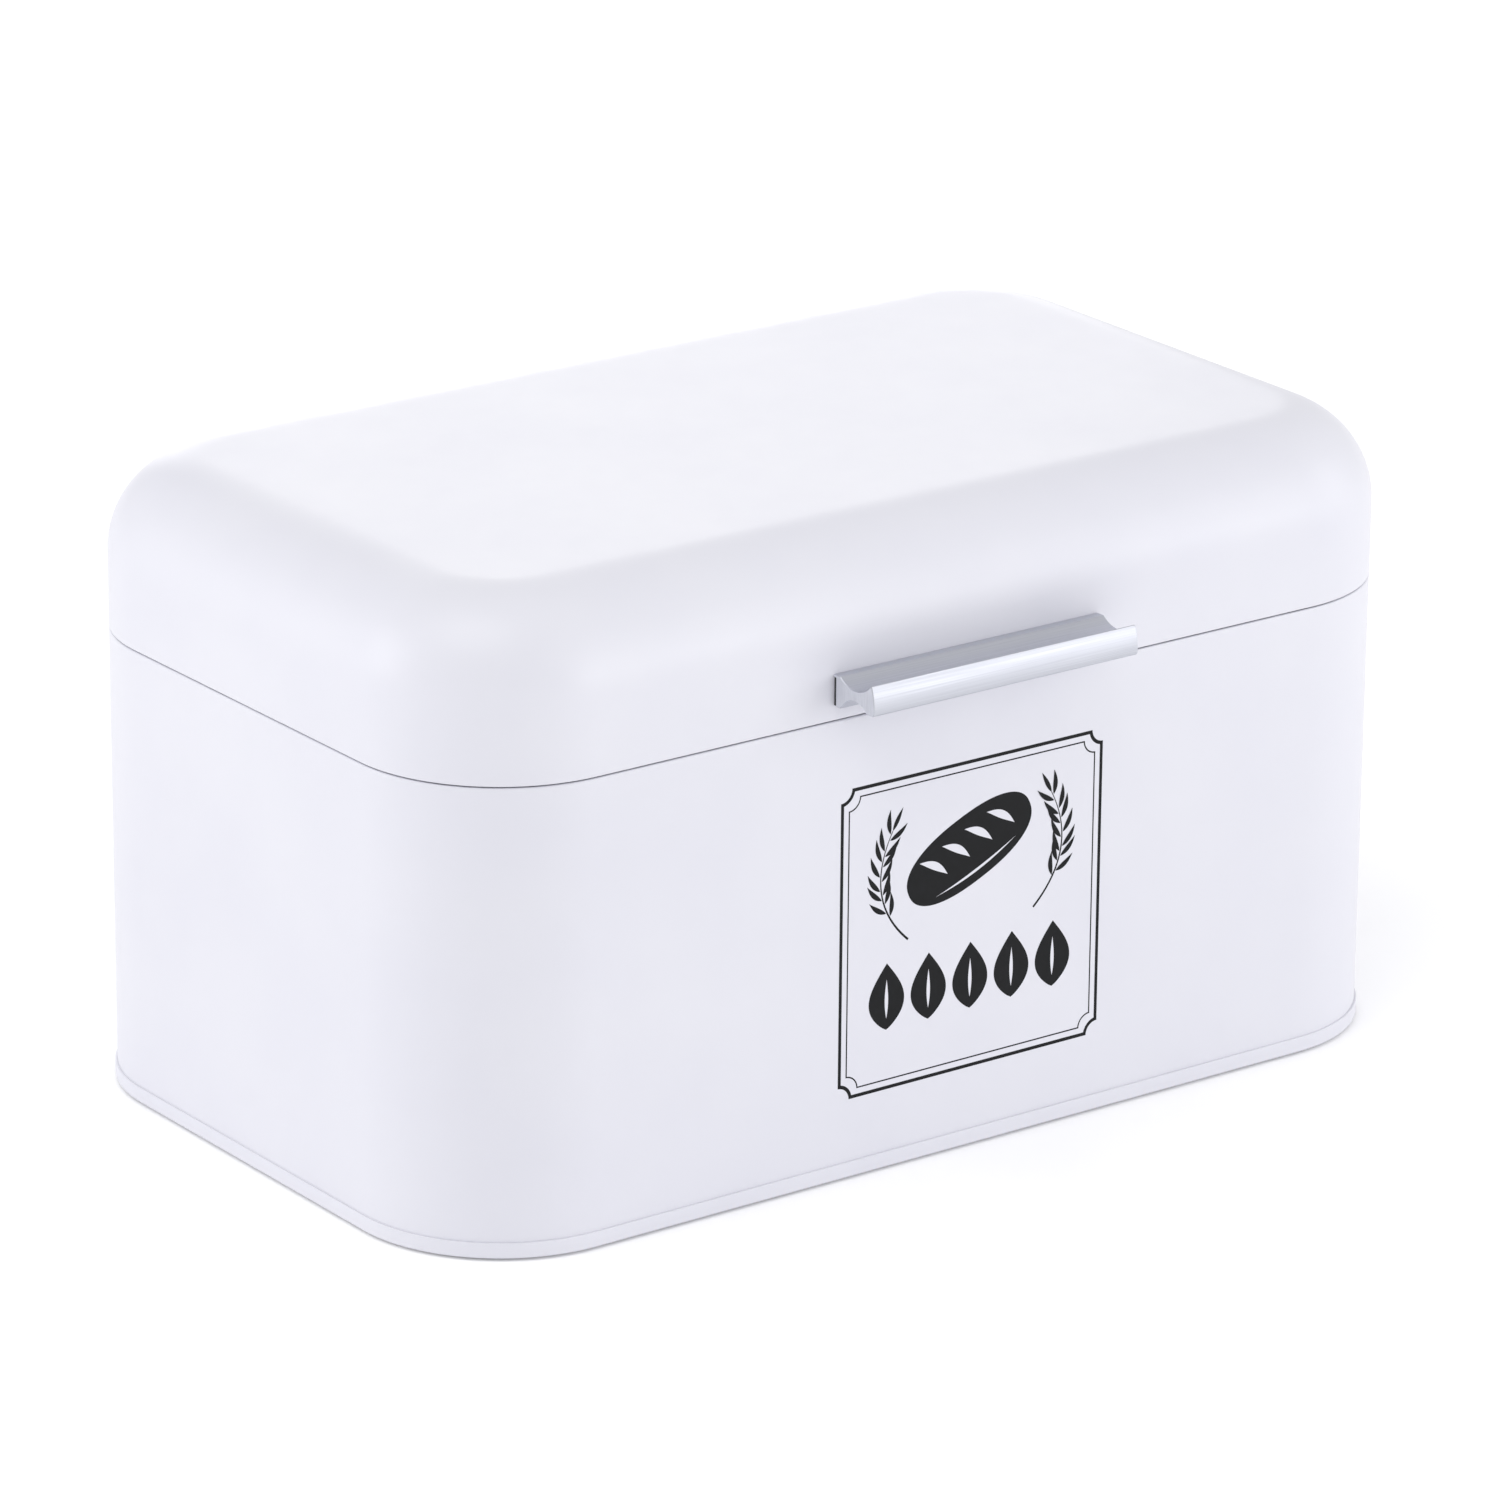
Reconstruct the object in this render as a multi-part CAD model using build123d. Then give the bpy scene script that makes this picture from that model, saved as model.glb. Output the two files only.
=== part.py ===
from build123d import *

import os
from math import cos, hypot, radians, sin, sqrt

# Bread box with a hinged, domed lid, in sheet steel. Millimetres, +Z up, front towards -Y.
# The origin is on the table, at the middle of the whole outline, handle and hinges included.
# Sheet positions are offsets inwards from the outer face of the wall, so 0 is the outer face.

# ---- driving dimensions -------------------------------------------------------------------------
width = 330.0  # side to side, over the wall
depth = 199.0  # front to back, over the wall
corner_radius = 44.0  # upright corners, seen from above
foot_gap = 0.8  # how far the feet hold the bottom rim off the table
seam_height = 131.8  # middle of the gap under the lid, above the bottom rim
lid_top_height = 180.2  # top of the lid, above the bottom rim
lid_radius = 27.0  # round edge between the lid's skirt and its top
sheet = 0.6  # steel thickness
lid_gap = 0.4  # open gap between wall and lid all round
slip = 0.02  # clearance between sheets that are pressed together

touch = 1e-3  # lengths that differ by less than this are the same

rim_height = 4.4  # folded seam that joins wall and bottom
rim_proud = 0.6  # how far that seam stands out from the wall
floor_recess = 3.5  # bottom sheet above the rim's lower edge
panel_margin = 18.0  # flat border round the raised panel of the bottom
panel_lift = 1.5

wall_hem = 8.0  # folded safe edge at the top of the wall
lid_hem = 4.0  # folded safe edge at the bottom of the lid
edge_round = 0.5
rim_edge_round = 0.3

collar_drop = 11.0  # collar's lower edge below the seam
collar_step = 2.0  # collar's shelf below the seam
collar_rise = 4.4  # collar's top above the seam
collar_inset = 2.6  # collar's outer face, where it stands inside the lid
collar_hem = 3.0

lock_seam_width = 7.0  # upright folded joint at the middle of the back
vent_radius = 2.0
vent_pitch = 9.0
vents_each_side = 5
vent_first_x = 17.0
vent_drop = 30.0  # vents below the seam
through = 5.0  # how far a cutting bar runs past a sheet on both sides

handle_length = 89.0
handle_projection = 17.8  # from the lid's face to the handle's lip
handle_foot_rise = 4.4  # lower edge of the handle's back above the seam
handle_back_height = 8.9
handle_scoop_floor = 6.7  # heights above the handle's lower edge
handle_lip_top = 9.9
handle_lip_low = 1.6
handle_hollow_top = 3.7
handle_plate = 1.9  # thickness of the back, before the scoop starts
gasket_thickness = 1.0
gasket_height = 7.8
gasket_cover = 0.9  # height of the ledge that hides the gasket's top
screw_spacing = 64.0
screw_rise = 9.4  # screws above the seam
screw_radius = 1.45
screw_hole_radius = 1.5
screw_clearance_radius = 1.7
screw_reach = 4.6  # thread inside the handle
screw_hole_depth = 5.4
screw_head_radius = 2.9
screw_head_height = 2.1
washer_radius = 3.5
washer_thickness = 0.6
screw_slot_length = 2.8
screw_slot_width = 0.6
screw_slot_depth = 1.1
screw_head_round = 0.9

hinge_spacing = 190.0
hinge_width = 36.0
hinge_middle_width = 12.0  # lid's knuckle
hinge_side_gap = 0.2
leaf_thickness = 1.0
leaf_standoff = 2.8  # hinge axis behind the wall
knuckle_radius = 2.3
pin_radius = 1.25
pin_bore_tight = 1.27
pin_bore_running = 1.32
pin_head_radius = 1.9
pin_head = 0.6
body_leaf_bottom = 21.0  # below the axis
lid_leaf_top = 18.0  # above the axis
leaf_clear = 2.6  # where each leaf stops short of the other's knuckle
leaf_corner = 3.0
neck_inner = 2.5
neck_outer = 1.0
open_angle = 100.0
lug_length = 5.4
lug_half_width = 5.0
lug_thickness = 1.5
lug_clearance = 0.05

rivet_radius = 1.6
rivet_hole_radius = 1.65
rivet_head_radius = 3.2
rivet_head_height = 1.3
rivet_tail_radius = 2.5
rivet_tail_height = 1.2
rivet_head_round = 1.0
rivet_tail_round = 0.8
rivet_spacing = 20.0
body_rivet_drop = 15.0  # rivets below the axis
lid_rivet_rise = 12.0  # rivets above the axis

foot_radius = 6.0
foot_inset = 10.0  # foot centre from the wall, on the corner's diagonal
foot_chamfer = 0.4

bumper_spacing = 150.0
bumper_width = 10.0
bumper_height = 5.0
bumper_depth = 3.9
bumper_gap = 0.1
bumper_round = 1.5

label_size = 89.0
label_thickness = 0.12
label_centre_x = 3.0
label_centre_rise = 67.0  # above the bottom rim
label_corner_notch = 3.6

# ---- places worked out from them ----------------------------------------------------------------
rim_bottom = foot_gap
rim_top = rim_bottom + rim_height
seam_z = rim_bottom + seam_height
wall_bottom = rim_bottom + sheet + slip
wall_top = seam_z - lid_gap / 2
lid_bottom = seam_z + lid_gap / 2
lid_top = rim_bottom + lid_top_height
floor_z = rim_bottom + floor_recess

lug_face = leaf_thickness - leaf_standoff + lug_clearance  # where the open lid's lug stops
lug_tip = lug_length * sin(radians(open_angle)) + lug_face * cos(radians(open_angle))
rear_proud = leaf_standoff + lug_tip  # the closed lid's lugs reach furthest back
mid_y = (handle_projection - rear_proud) / 2  # middle of the box, seen from above
front_y = mid_y - depth / 2
back_y = mid_y + depth / 2
axis_y = back_y + leaf_standoff
axis_z = seam_z
inner_face = 2 * sheet + slip  # the inside of a folded hem
front_screws = [-screw_spacing / 2, screw_spacing / 2]
hinge_centres = {"left": -hinge_spacing / 2, "right": hinge_spacing / 2}


# ---- helpers ------------------------------------------------------------------------------------
def slab(z_low, z_high, offset):
    """The box's rounded outline, drawn in by offset and stood between two heights."""
    outline = RectangleRounded(width - 2 * offset, depth - 2 * offset, corner_radius - offset)
    return Pos(0, mid_y, z_low) * extrude(outline, z_high - z_low)


def band(z_low, z_high, outer, inner):
    """A ring of sheet that follows the outline, from one offset to another."""
    return slab(z_low, z_high, outer) - slab(z_low - 1, z_high + 1, inner)


def block(x_low, x_high, y_low, y_high, z_low, z_high):
    size = (x_high - x_low, y_high - y_low, z_high - z_low)
    middle = ((x_low + x_high) / 2, (y_low + y_high) / 2, (z_low + z_high) / 2)
    return Pos(*middle) * Box(*size)


def rod_y(x, z, radius, y_low, y_high):
    """A round bar along Y."""
    return Pos(x, (y_low + y_high) / 2, z) * Rot(90, 0, 0) * Cylinder(radius, y_high - y_low)


def rod_x(y, z, radius, x_low, x_high):
    """A round bar along X."""
    return Pos((x_low + x_high) / 2, y, z) * Rot(0, 90, 0) * Cylinder(radius, x_high - x_low)


def edges_at(shape, z):
    """The edges that lie level at height z."""
    boxes = [(edge, edge.bounding_box()) for edge in shape.edges()]
    return [edge for edge, box in boxes if abs(box.min.Z - z) < touch and abs(box.max.Z - z) < touch]


def rivet_places(side_x):
    return [side_x - rivet_spacing / 2, side_x + rivet_spacing / 2]


# ---- the box ------------------------------------------------------------------------------------
def body_wall():
    """One strip bent round, joined at the back, with its top edge folded in."""
    wall = band(wall_bottom, wall_top, 0, sheet)
    wall += band(wall_top - wall_hem, wall_top, 0, 2 * sheet)
    wall = fillet(edges_at(wall, wall_top), edge_round)
    half = lock_seam_width / 2
    seam = block(-half, half, back_y - 0.3, back_y + sheet, rim_top + 1.0, wall_top - wall_hem)
    wall += chamfer(seam.edges().filter_by(Axis.Z).sort_by(Axis.Y)[-2:], sheet * 0.6)
    for side in (-1, 1):
        for i in range(vents_each_side):
            x = side * (vent_first_x + i * vent_pitch)
            wall -= rod_y(x, seam_z - vent_drop, vent_radius, back_y - through, back_y + through)
    for side_x in hinge_centres.values():
        for x in rivet_places(side_x):
            wall -= rod_y(x, axis_z - body_rivet_drop, rivet_hole_radius, back_y - through, back_y + through)
    return wall


def base_pan():
    """The bottom sheet. Its edge goes down, out under the wall and up outside it."""
    inner_leg = sheet + slip
    pan = band(rim_bottom, rim_top, -rim_proud, -slip)
    pan += band(rim_bottom, rim_bottom + sheet, -rim_proud, inner_leg + sheet)
    pan += band(rim_bottom, floor_z + sheet, inner_leg, inner_leg + sheet)
    pan += band(floor_z, floor_z + sheet, inner_leg, panel_margin)
    pan += band(floor_z, floor_z + panel_lift + sheet, panel_margin - sheet, panel_margin)
    pan += slab(floor_z + panel_lift, floor_z + panel_lift + sheet, panel_margin - sheet)
    pan = fillet([e for e in edges_at(pan, rim_bottom) if on_outline(e, -rim_proud)], edge_round)
    return fillet([e for e in edges_at(pan, rim_top) if on_outline(e, -rim_proud)], rim_edge_round)


def on_outline(edge, offset):
    """True if an edge lies on the outline drawn in by offset."""
    middle = edge @ 0.5
    past_x = abs(middle.X) - (width / 2 - corner_radius)
    past_y = abs(middle.Y - mid_y) - (depth / 2 - corner_radius)
    reach = hypot(max(past_x, 0), max(past_y, 0))
    return abs(reach - (corner_radius - offset)) < touch


def collar():
    """A stepped ring, spot-welded inside the wall's hem, that stands up inside the lid."""
    low, shelf, top = seam_z - collar_drop, seam_z - collar_step, seam_z + collar_rise
    ring = band(low, shelf, inner_face, inner_face + sheet)
    ring += band(shelf - sheet, shelf, inner_face, collar_inset + sheet)
    ring += band(shelf - sheet, top, collar_inset, collar_inset + sheet)
    ring += band(top - collar_hem, top, collar_inset, collar_inset + 2 * sheet)
    return fillet(edges_at(ring, top), edge_round)


def lid_shell():
    """The drawn lid, with its lower edge folded in."""
    outside = slab(lid_bottom, lid_top, 0)
    outside = fillet(edges_at(outside, lid_top), lid_radius)
    inside = slab(lid_bottom - 1, lid_top - sheet, sheet)
    inside = fillet(edges_at(inside, lid_top - sheet), lid_radius - sheet)
    lid = outside - inside
    lid += band(lid_bottom, lid_bottom + lid_hem, 0, 2 * sheet)
    lid = fillet(edges_at(lid, lid_bottom), edge_round)
    for x in front_screws:
        lid -= rod_y(x, seam_z + screw_rise, screw_clearance_radius, front_y - through, front_y + through)
    for side_x in hinge_centres.values():
        for x in rivet_places(side_x):
            lid -= rod_y(x, axis_z + lid_rivet_rise, rivet_hole_radius, back_y - through, back_y + through)
    return lid


# ---- the handle ---------------------------------------------------------------------------------
def handle_bar():
    """An extruded pull: a back plate, a scooped top, a lip at the front and a hollow underneath."""
    back, tip = gasket_thickness, handle_projection
    face = back + handle_plate
    # Section: first number forwards from the lid, second upwards from the handle's lower edge.
    with BuildPart() as bar:
        with BuildSketch(Plane.YZ):
            with BuildLine():
                upright = Line((back, 0), (back, handle_back_height - gasket_cover))
                cover = Line(upright @ 1, (0, handle_back_height - gasket_cover))
                cover_back = Line(cover @ 1, (0, handle_back_height))
                ledge = Line(cover_back @ 1, (face, handle_back_height))
                scoop = ThreePointArc(ledge @ 1, (8.6, handle_scoop_floor), (tip - 1.6, handle_lip_top))
                lip_edge = Line(scoop @ 1, (tip - 1.3, handle_lip_top - 0.1))
                lip = ThreePointArc(lip_edge @ 1, (tip - 0.25, 6.2), (tip, 2.6))
                lip_foot = ThreePointArc(lip @ 1, (tip - 0.5, 1.75), (tip - 1.3, handle_lip_low))
                under_lip = Line(lip_foot @ 1, (tip - 3.6, handle_lip_low + 0.1))
                hollow = ThreePointArc(under_lip @ 1, (9.4, handle_hollow_top), (4.2, 1.2))
                heel = Line(hollow @ 1, (face + 0.1, 0))
                Line(heel @ 1, upright @ 0)
            make_face()
        extrude(amount=handle_length / 2, both=True)
    pull = Pos(0, front_y, seam_z + handle_foot_rise) * mirror(bar.part, Plane.XZ)
    mouth = front_y - gasket_thickness
    for x in front_screws:
        pull -= rod_y(x, seam_z + screw_rise, screw_hole_radius, mouth - screw_hole_depth, mouth + 1)
    return pull


def handle_gasket():
    half = handle_length / 2 - 0.3
    low = seam_z + handle_foot_rise + 0.1
    strip = block(-half, half, front_y - gasket_thickness, front_y, low, low + gasket_height)
    for x in front_screws:
        strip -= rod_y(x, seam_z + screw_rise, screw_clearance_radius, front_y - through, front_y + through)
    return strip


def handle_washer(x):
    y = front_y + sheet
    washer = rod_y(x, seam_z + screw_rise, washer_radius, y, y + washer_thickness)
    return washer - rod_y(x, seam_z + screw_rise, screw_clearance_radius, y - through, y + through)


def handle_screw(x):
    """Pan head inside the lid, with a cross recess, and a shank that ends in the handle."""
    seat = front_y + sheet + washer_thickness
    z = seam_z + screw_rise
    tip = front_y - gasket_thickness - screw_reach
    head = rod_y(x, z, screw_head_radius, seat, seat + screw_head_height)
    head = fillet(head.edges().sort_by(Axis.Y)[-1], screw_head_round)
    screw = head + rod_y(x, z, screw_radius, tip, seat + 0.5)
    for turn in (0, 90):
        slot = Box(screw_slot_length, 2 * screw_slot_depth, screw_slot_width)
        slot = Pos(x, seat + screw_head_height, z) * Rot(0, turn, 0) * slot
        screw -= slot
    return screw


# ---- the hinges ---------------------------------------------------------------------------------
def leaf_plate(side_x, z_low, z_high, rivet_z):
    """The flat part of a leaf, on the back of the box, with rounded far corners."""
    half = hinge_width / 2
    inner = back_y
    plate = block(side_x - half, side_x + half, inner, inner + leaf_thickness, z_low, z_high)
    far = z_low if rivet_z < axis_z else z_high
    corners = [e for e in plate.edges().filter_by(Axis.Y) if abs((e @ 0.5).Z - far) < touch]
    plate = fillet(corners, leaf_corner)
    for x in rivet_places(side_x):
        plate -= rod_y(x, rivet_z, rivet_hole_radius, inner - through, inner + through)
    return plate


def body_leaf(side_x):
    """Leaf on the box: two outer knuckles hold the pin."""
    half, middle = hinge_width / 2, hinge_middle_width / 2 + hinge_side_gap
    leaf = leaf_plate(side_x, axis_z - body_leaf_bottom, axis_z - leaf_clear, axis_z - body_rivet_drop)
    for low, high in ((side_x - half, side_x - middle), (side_x + middle, side_x + half)):
        leaf += block(low, high, axis_y - neck_inner, axis_y - neck_outer, axis_z - leaf_clear - 0.5, axis_z)
        leaf += block(low, high, back_y, back_y + leaf_thickness, axis_z - leaf_clear - 0.5, axis_z - 1.2)
        leaf += rod_x(axis_y, axis_z, knuckle_radius, low, high)
    return leaf - rod_x(axis_y, axis_z, pin_bore_tight, side_x - half - 1, side_x + half + 1)


def lid_leaf(side_x):
    """Leaf on the lid: one middle knuckle, with a lug that meets the other leaf when the lid is open."""
    middle = hinge_middle_width / 2
    low, high = side_x - middle, side_x + middle
    leaf = leaf_plate(side_x, axis_z + leaf_clear, axis_z + lid_leaf_top, axis_z + lid_rivet_rise)
    leaf += block(low, high, axis_y - neck_inner, axis_y - neck_outer, axis_z, axis_z + leaf_clear + 0.5)
    leaf += block(low, high, back_y, back_y + leaf_thickness, axis_z + 1.2, axis_z + leaf_clear + 0.5)
    leaf += rod_x(axis_y, axis_z, knuckle_radius, low, high)
    lug = block(-lug_half_width, lug_half_width, lug_face, lug_face + lug_thickness, -lug_length, -1.0)
    leaf += Pos(side_x, axis_y, axis_z) * Rot(open_angle, 0, 0) * lug
    return leaf - rod_x(axis_y, axis_z, pin_bore_running, low - 1, high + 1)


def hinge_pin(side_x):
    half = hinge_width / 2
    pin = rod_x(axis_y, axis_z, pin_radius, side_x - half - pin_head, side_x + half + pin_head)
    for low in (side_x - half - pin_head, side_x + half):
        pin += rod_x(axis_y, axis_z, pin_head_radius, low, low + pin_head)
    return pin


def rivet(x, z):
    """Domed head outside the leaf, shank through leaf and sheet, pulled tail inside."""
    leaf_face = back_y + leaf_thickness
    head = rod_y(x, z, rivet_head_radius, leaf_face, leaf_face + rivet_head_height)
    head = fillet(head.edges().sort_by(Axis.Y)[-1], rivet_head_round)
    tail_face = back_y - sheet
    tail = rod_y(x, z, rivet_tail_radius, tail_face - rivet_tail_height, tail_face)
    tail = fillet(tail.edges().sort_by(Axis.Y)[0], rivet_tail_round)
    return head + tail + rod_y(x, z, rivet_radius, tail_face - 0.2, leaf_face + 0.2)


def rivet_group(rivet_z):
    places = [x for side_x in hinge_centres.values() for x in rivet_places(side_x)]
    return Compound([rivet(x, rivet_z) for x in places])


# ---- soft and small pieces ----------------------------------------------------------------------
def foot(side_x, side_y):
    reach = (corner_radius - foot_inset) / sqrt(2)
    x = side_x * (width / 2 - corner_radius + reach)
    y = mid_y + side_y * (depth / 2 - corner_radius + reach)
    pad = Pos(x, y, floor_z / 2) * Cylinder(foot_radius, floor_z)
    return chamfer(pad.edges().sort_by(Axis.Z)[0], foot_chamfer)


def lid_bumper(x):
    """A soft stop inside the lid's front that lands on the collar."""
    low = seam_z + collar_rise + bumper_gap
    y = front_y + sheet
    half = bumper_width / 2
    pad = block(x - half, x + half, y, y + bumper_depth, low, low + bumper_height)
    return fillet(pad.edges().filter_by(Axis.Z).sort_by(Axis.Y)[-2:], bumper_round)


def front_label():
    """The printed film on the front, with its corners scooped out."""
    half = label_size / 2
    film = Rectangle(label_size, label_size)
    for corner_x in (-half, half):
        for corner_y in (-half, half):
            film -= Pos(corner_x, corner_y) * Circle(label_corner_notch)
    centre = (label_centre_x, front_y, rim_bottom + label_centre_rise)
    plane = Plane(centre, x_dir=(1, 0, 0), z_dir=(0, -1, 0))
    return plane * extrude(film, label_thickness)


# ---- write every piece --------------------------------------------------------------------------
pieces = {
    "body_wall": body_wall(),
    "base_pan": base_pan(),
    "collar": collar(),
    "front_label": front_label(),
    "hinge_rivets_body": rivet_group(axis_z - body_rivet_drop),
    "lid_shell": lid_shell(),
    "handle_bar": handle_bar(),
    "handle_gasket": handle_gasket(),
    "hinge_rivets_lid": rivet_group(axis_z + lid_rivet_rise),
}
for side, x in hinge_centres.items():
    pieces[f"hinge_leaf_body_{side}"] = body_leaf(x)
    pieces[f"hinge_leaf_lid_{side}"] = lid_leaf(x)
    pieces[f"hinge_pin_{side}"] = hinge_pin(x)
for side, x in zip(("left", "right"), front_screws):
    pieces[f"handle_screw_{side}"] = handle_screw(x)
    pieces[f"handle_washer_{side}"] = handle_washer(x)
for side, sign in (("left", -1), ("right", 1)):
    pieces[f"lid_bumper_{side}"] = lid_bumper(sign * bumper_spacing / 2)
    pieces[f"foot_front_{side}"] = foot(sign, -1)
    pieces[f"foot_back_{side}"] = foot(sign, 1)

os.makedirs("parts", exist_ok=True)
for name, shape in pieces.items():
    export_step(shape, f"parts/{name}.step")
print(f"{len(pieces)} pieces, hinge axis y {axis_y:.3f} z {axis_z:.3f}, middle y {mid_y:.3f}")
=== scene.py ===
import math

import bmesh
import bpy
import numpy as np
from mathutils import Matrix, Vector


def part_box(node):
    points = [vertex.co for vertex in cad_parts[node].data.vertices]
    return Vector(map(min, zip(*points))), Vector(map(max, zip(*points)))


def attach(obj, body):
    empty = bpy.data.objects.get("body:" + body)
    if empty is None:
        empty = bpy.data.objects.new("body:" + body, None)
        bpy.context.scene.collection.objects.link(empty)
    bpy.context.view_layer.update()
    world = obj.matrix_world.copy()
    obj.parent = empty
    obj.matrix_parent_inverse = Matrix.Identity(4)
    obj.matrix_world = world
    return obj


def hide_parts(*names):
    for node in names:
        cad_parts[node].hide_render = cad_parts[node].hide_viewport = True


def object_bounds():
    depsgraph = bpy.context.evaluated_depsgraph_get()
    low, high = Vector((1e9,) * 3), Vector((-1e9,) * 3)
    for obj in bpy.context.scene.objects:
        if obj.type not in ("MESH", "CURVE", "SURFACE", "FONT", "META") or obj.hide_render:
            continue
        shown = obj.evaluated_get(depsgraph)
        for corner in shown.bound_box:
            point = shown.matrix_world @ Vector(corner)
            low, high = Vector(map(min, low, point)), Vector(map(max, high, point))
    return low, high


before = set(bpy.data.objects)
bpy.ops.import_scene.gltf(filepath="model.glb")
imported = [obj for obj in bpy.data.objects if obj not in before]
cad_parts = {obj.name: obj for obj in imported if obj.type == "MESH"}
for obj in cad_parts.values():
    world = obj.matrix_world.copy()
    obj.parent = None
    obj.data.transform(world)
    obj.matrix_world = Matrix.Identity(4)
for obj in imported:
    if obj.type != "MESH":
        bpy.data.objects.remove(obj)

# Bread box in powder-coated sheet steel with a domed, hinged lid.
# Shapes are worked out in millimetres, in the CAD frame, and scaled to metres as they become meshes.
mm = 0.001
cadLow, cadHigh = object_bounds()


# A CAD node's lowest and highest corners at rest, in millimetres.
def nodeBox(name):
    low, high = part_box(name)
    return np.array(low) / mm, np.array(high) / mm


# sRGB hex to linear: c / 12.92 below 0.04045, otherwise ((c + 0.055) / 1.055) to the power 2.4.
def hexColour(code):
    c = np.array([int(code[i:i + 2], 16) for i in (1, 3, 5)]) / 255
    linear = np.where(c <= 0.04045, c / 12.92, ((c + 0.055) / 1.055) ** 2.4)
    return (*(float(v) for v in linear), 1.0)


# Adds one node. Settings are its attributes; inputs are values, or sockets to link from.
def addNode(tree, kind, inputs=None, **settings):
    node = tree.nodes.new(kind)
    for name, value in settings.items():
        setattr(node, name, value)
    for key, value in (inputs or {}).items():
        if isinstance(value, bpy.types.NodeSocket):
            tree.links.new(value, node.inputs[key])
        else:
            node.inputs[key].default_value = value
    return node


# An empty node material with a Principled shader; returns the material, its tree and the shader.
def startMaterial(name, **inputs):
    material = bpy.data.materials.new(name)
    material.use_nodes = True
    tree = material.node_tree
    tree.nodes.clear()
    shader = addNode(tree, "ShaderNodeBsdfPrincipled", inputs)
    addNode(tree, "ShaderNodeOutputMaterial", {"Surface": shader.outputs["BSDF"]})
    return material, tree, shader


# Links a finish's colour, roughness and surface normal to its shader.
def wearFinish(tree, shader, colour, roughness, normal):
    for name, socket in (("Base Color", colour), ("Roughness", roughness), ("Normal", normal)):
        tree.links.new(socket, shader.inputs[name])


# Object coordinates, stretched so that one unit is the given number of millimetres along each axis.
def patternPlace(tree, size):
    place = addNode(tree, "ShaderNodeTexCoord")
    stretch = tuple(1 / (s * mm) for s in size)
    return addNode(tree, "ShaderNodeMapping", {"Vector": place.outputs["Object"], "Scale": stretch})


# Noise over that place: its features are about as large as the size in millimetres.
def patternNoise(tree, size, detail=2.0, rough=0.5):
    place = patternPlace(tree, size)
    inputs = {"Vector": place.outputs["Vector"], "Scale": 1.0, "Detail": detail, "Roughness": rough}
    return addNode(tree, "ShaderNodeTexNoise", inputs).outputs["Fac"]


# Runs a 0 to 1 pattern between two numbers.
def spread(tree, pattern, low, high, fromLow=0.3, fromHigh=0.7):
    inputs = {"Value": pattern, "From Min": fromLow, "From Max": fromHigh, "To Min": low, "To Max": high}
    return addNode(tree, "ShaderNodeMapRange", inputs).outputs["Result"]


# Runs a 0 to 1 pattern between two colours.
def twoTones(tree, pattern, first, second, fromLow=0.3, fromHigh=0.7):
    share = spread(tree, pattern, 0, 1, fromLow, fromHigh)
    tones = {0: share, 6: hexColour(first), 7: hexColour(second)}
    mix = addNode(tree, "ShaderNodeMix", tones, data_type="RGBA")
    return mix.outputs[2]


# A bump from a pattern, its full height in millimetres.
def reliefNormal(tree, pattern, height, under=None):
    inputs = {"Height": pattern, "Distance": height * mm, "Strength": 1.0}
    if under is not None:
        inputs["Normal"] = under
    return addNode(tree, "ShaderNodeBump", inputs).outputs["Normal"]


# Polyester powder coat, satin white, sprayed dry and baked: it flows into a very shallow orange peel,
# so the eye sees soft, slightly grained highlights and a cool, even white.
powderCoat = {
    "base": "#DCDCE5",
    "cloud": "#DFDFE7",
    "cloudSize": 45.0,
    "rough": 0.36,
    "film": 7.0,  # patches of slightly different gloss
    "peel": 1.4,
    "peelHeight": 0.010,
}


def makePowderCoat():
    material, tree, shader = startMaterial("powderCoatSatinWhite", IOR=1.5)
    cloud = patternNoise(tree, (powderCoat["cloudSize"],) * 3)
    film = patternNoise(tree, (powderCoat["film"],) * 3, 3.0)
    peel = patternNoise(tree, (powderCoat["peel"],) * 3, 1.0)
    wearFinish(tree, shader, twoTones(tree, cloud, powderCoat["base"], powderCoat["cloud"]),
               spread(tree, film, powderCoat["rough"] - 0.02, powderCoat["rough"] + 0.02),
               reliefNormal(tree, peel, powderCoat["peelHeight"]))
    return material


# Aluminium extrusion, etched matt and clear anodised: die lines run along its length,
# so highlights are drawn out across them and the flat faces look silky.
anodised = {
    "base": "#C6C8D0",
    "line": "#BCBEC7",
    "metal": 0.8,
    "rough": 0.40,
    "lineWidth": 0.22,
    "lineLength": 40.0,
    "lineHeight": 0.004,
    "etch": 0.35,
    "etchHeight": 0.003,
}


def makeAnodised():
    material, tree, shader = startMaterial("anodisedAluminiumSatin", Metallic=anodised["metal"])
    lines = patternNoise(tree, (anodised["lineLength"], anodised["lineWidth"], anodised["lineWidth"]), 2.0)
    etch = patternNoise(tree, (anodised["etch"],) * 3, 2.0)
    fine = reliefNormal(tree, etch, anodised["etchHeight"])
    wearFinish(tree, shader, twoTones(tree, lines, anodised["base"], anodised["line"]),
               spread(tree, lines, anodised["rough"] - 0.04, anodised["rough"] + 0.05),
               reliefNormal(tree, lines, anodised["lineHeight"], fine))
    return material


# The same extrusion where it was cut to length: the saw leaves fine upright scratches,
# and the cut face is a paler, flatter grey. The paler grey is partly painted light: it brightens both end
# faces beyond what the softboxes give them.
cutEndLookAndPaintedLight = {"base": "#DFE1E7", "line": "#D3D5DC", "metal": 0.6, "scratch": (4.0, 0.25, 6.0),
        "scratchHeight": 0.006}


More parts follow.
